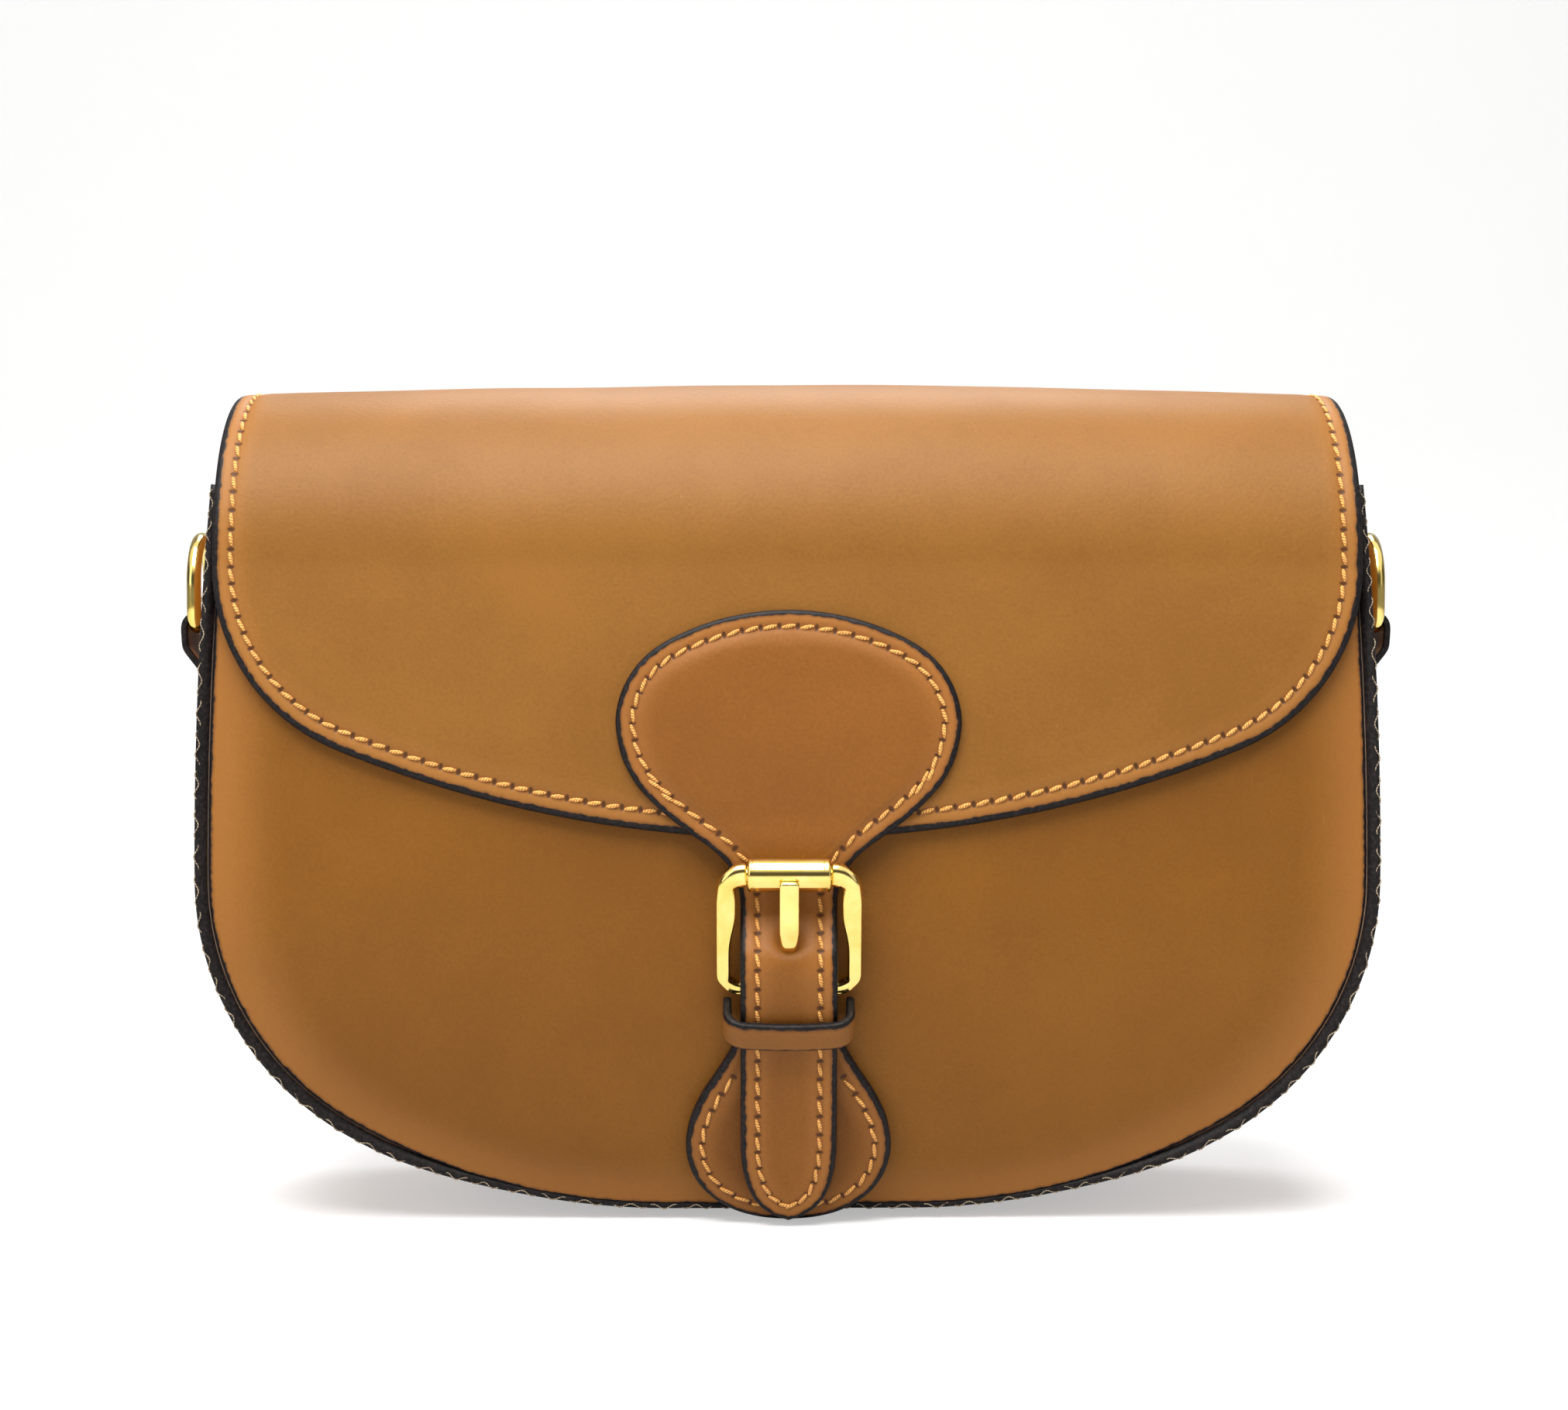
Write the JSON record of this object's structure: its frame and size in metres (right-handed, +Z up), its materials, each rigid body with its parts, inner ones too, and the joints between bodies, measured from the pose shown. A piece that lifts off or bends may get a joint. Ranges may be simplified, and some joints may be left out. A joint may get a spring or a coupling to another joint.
{
  "type": "sling bag",
  "caption": "Small leather saddle bag with a wrap-over flap, a tongue through a roller buckle on a pear-shaped base, and D-rings at the sides.",
  "frame": {"origin": "on the surface the bag stands on, under the middle of its base", "axes": "+X along the width, -Y towards the front with the buckle, +Z up"},
  "size_m": [0.2544, 0.0927, 0.1719],
  "materials": {
    "tan_leather": "smooth vegetable-tanned leather, satin",
    "edge_leather": "second layer with black painted edges",
    "suede_lining": "matte suede",
    "polished_metal": "polished pale gold plating"
  },
  "bodies": {
    "bag": {"front_panel": "tan_leather", "back_panel": "tan_leather", "gusset": "tan_leather", "front_lining": "suede_lining", "back_lining": "suede_lining", "gusset_lining": "suede_lining", "flap_anchor": "tan_leather", "left_ring_tab": "tan_leather", "right_ring_tab": "tan_leather", "snap_socket": "polished_metal", "socket_washer": "polished_metal"},
    "flap": {"flap_outer": "tan_leather", "flap_lining": "suede_lining", "tongue_patch": "tan_leather"},
    "closure": {"tongue_strap": "tan_leather", "strap_backing": "edge_leather", "pear_outer": "tan_leather", "pear_backing": "edge_leather", "keeper_loop": "tan_leather", "snap_stud": "polished_metal", "stud_washer": "polished_metal"},
    "buckle": {"buckle_frame": "polished_metal"},
    "roller": {"roller": "polished_metal"},
    "prong": {"prong": "polished_metal"},
    "left_ring": {"left_ring": "polished_metal"},
    "right_ring": {"right_ring": "polished_metal"}
  },
  "joints": [
    {"name": "flap_hinge", "type": "hinge", "parent": "bag", "child": "flap", "pos_m": [0, 0.0366, 0.132], "axis": [-1, 0, 0], "range_deg": [0, 110]},
    {"name": "closure_flex", "type": "hinge", "parent": "flap", "child": "closure", "pos_m": [0, -0.0439, 0.08], "axis": [-1, 0, 0], "range_deg": [0, 60]},
    {"name": "buckle_tilt", "type": "hinge", "parent": "closure", "child": "buckle", "pos_m": [0, -0.04259, 0.05], "axis": [1, 0, 0], "range_deg": [0, 8]},
    {"name": "prong_hinge", "type": "hinge", "parent": "buckle", "child": "prong", "pos_m": [0, -0.04259, 0.05], "axis": [1, 0, 0], "range_deg": [0, 12]},
    {"name": "roller_spin", "type": "hinge", "parent": "buckle", "child": "roller", "pos_m": [0, -0.04828, 0.0728], "axis": [1, 0, 0], "continuous": true},
    {"name": "left_ring_swing", "type": "hinge", "parent": "bag", "child": "left_ring", "pos_m": [-0.124, 0, 0.121], "axis": [0, -1, 0], "range_deg": [-8, 165]},
    {"name": "right_ring_swing", "type": "hinge", "parent": "bag", "child": "right_ring", "pos_m": [0.124, 0, 0.121], "axis": [0, 1, 0], "range_deg": [-8, 165]}
  ]
}
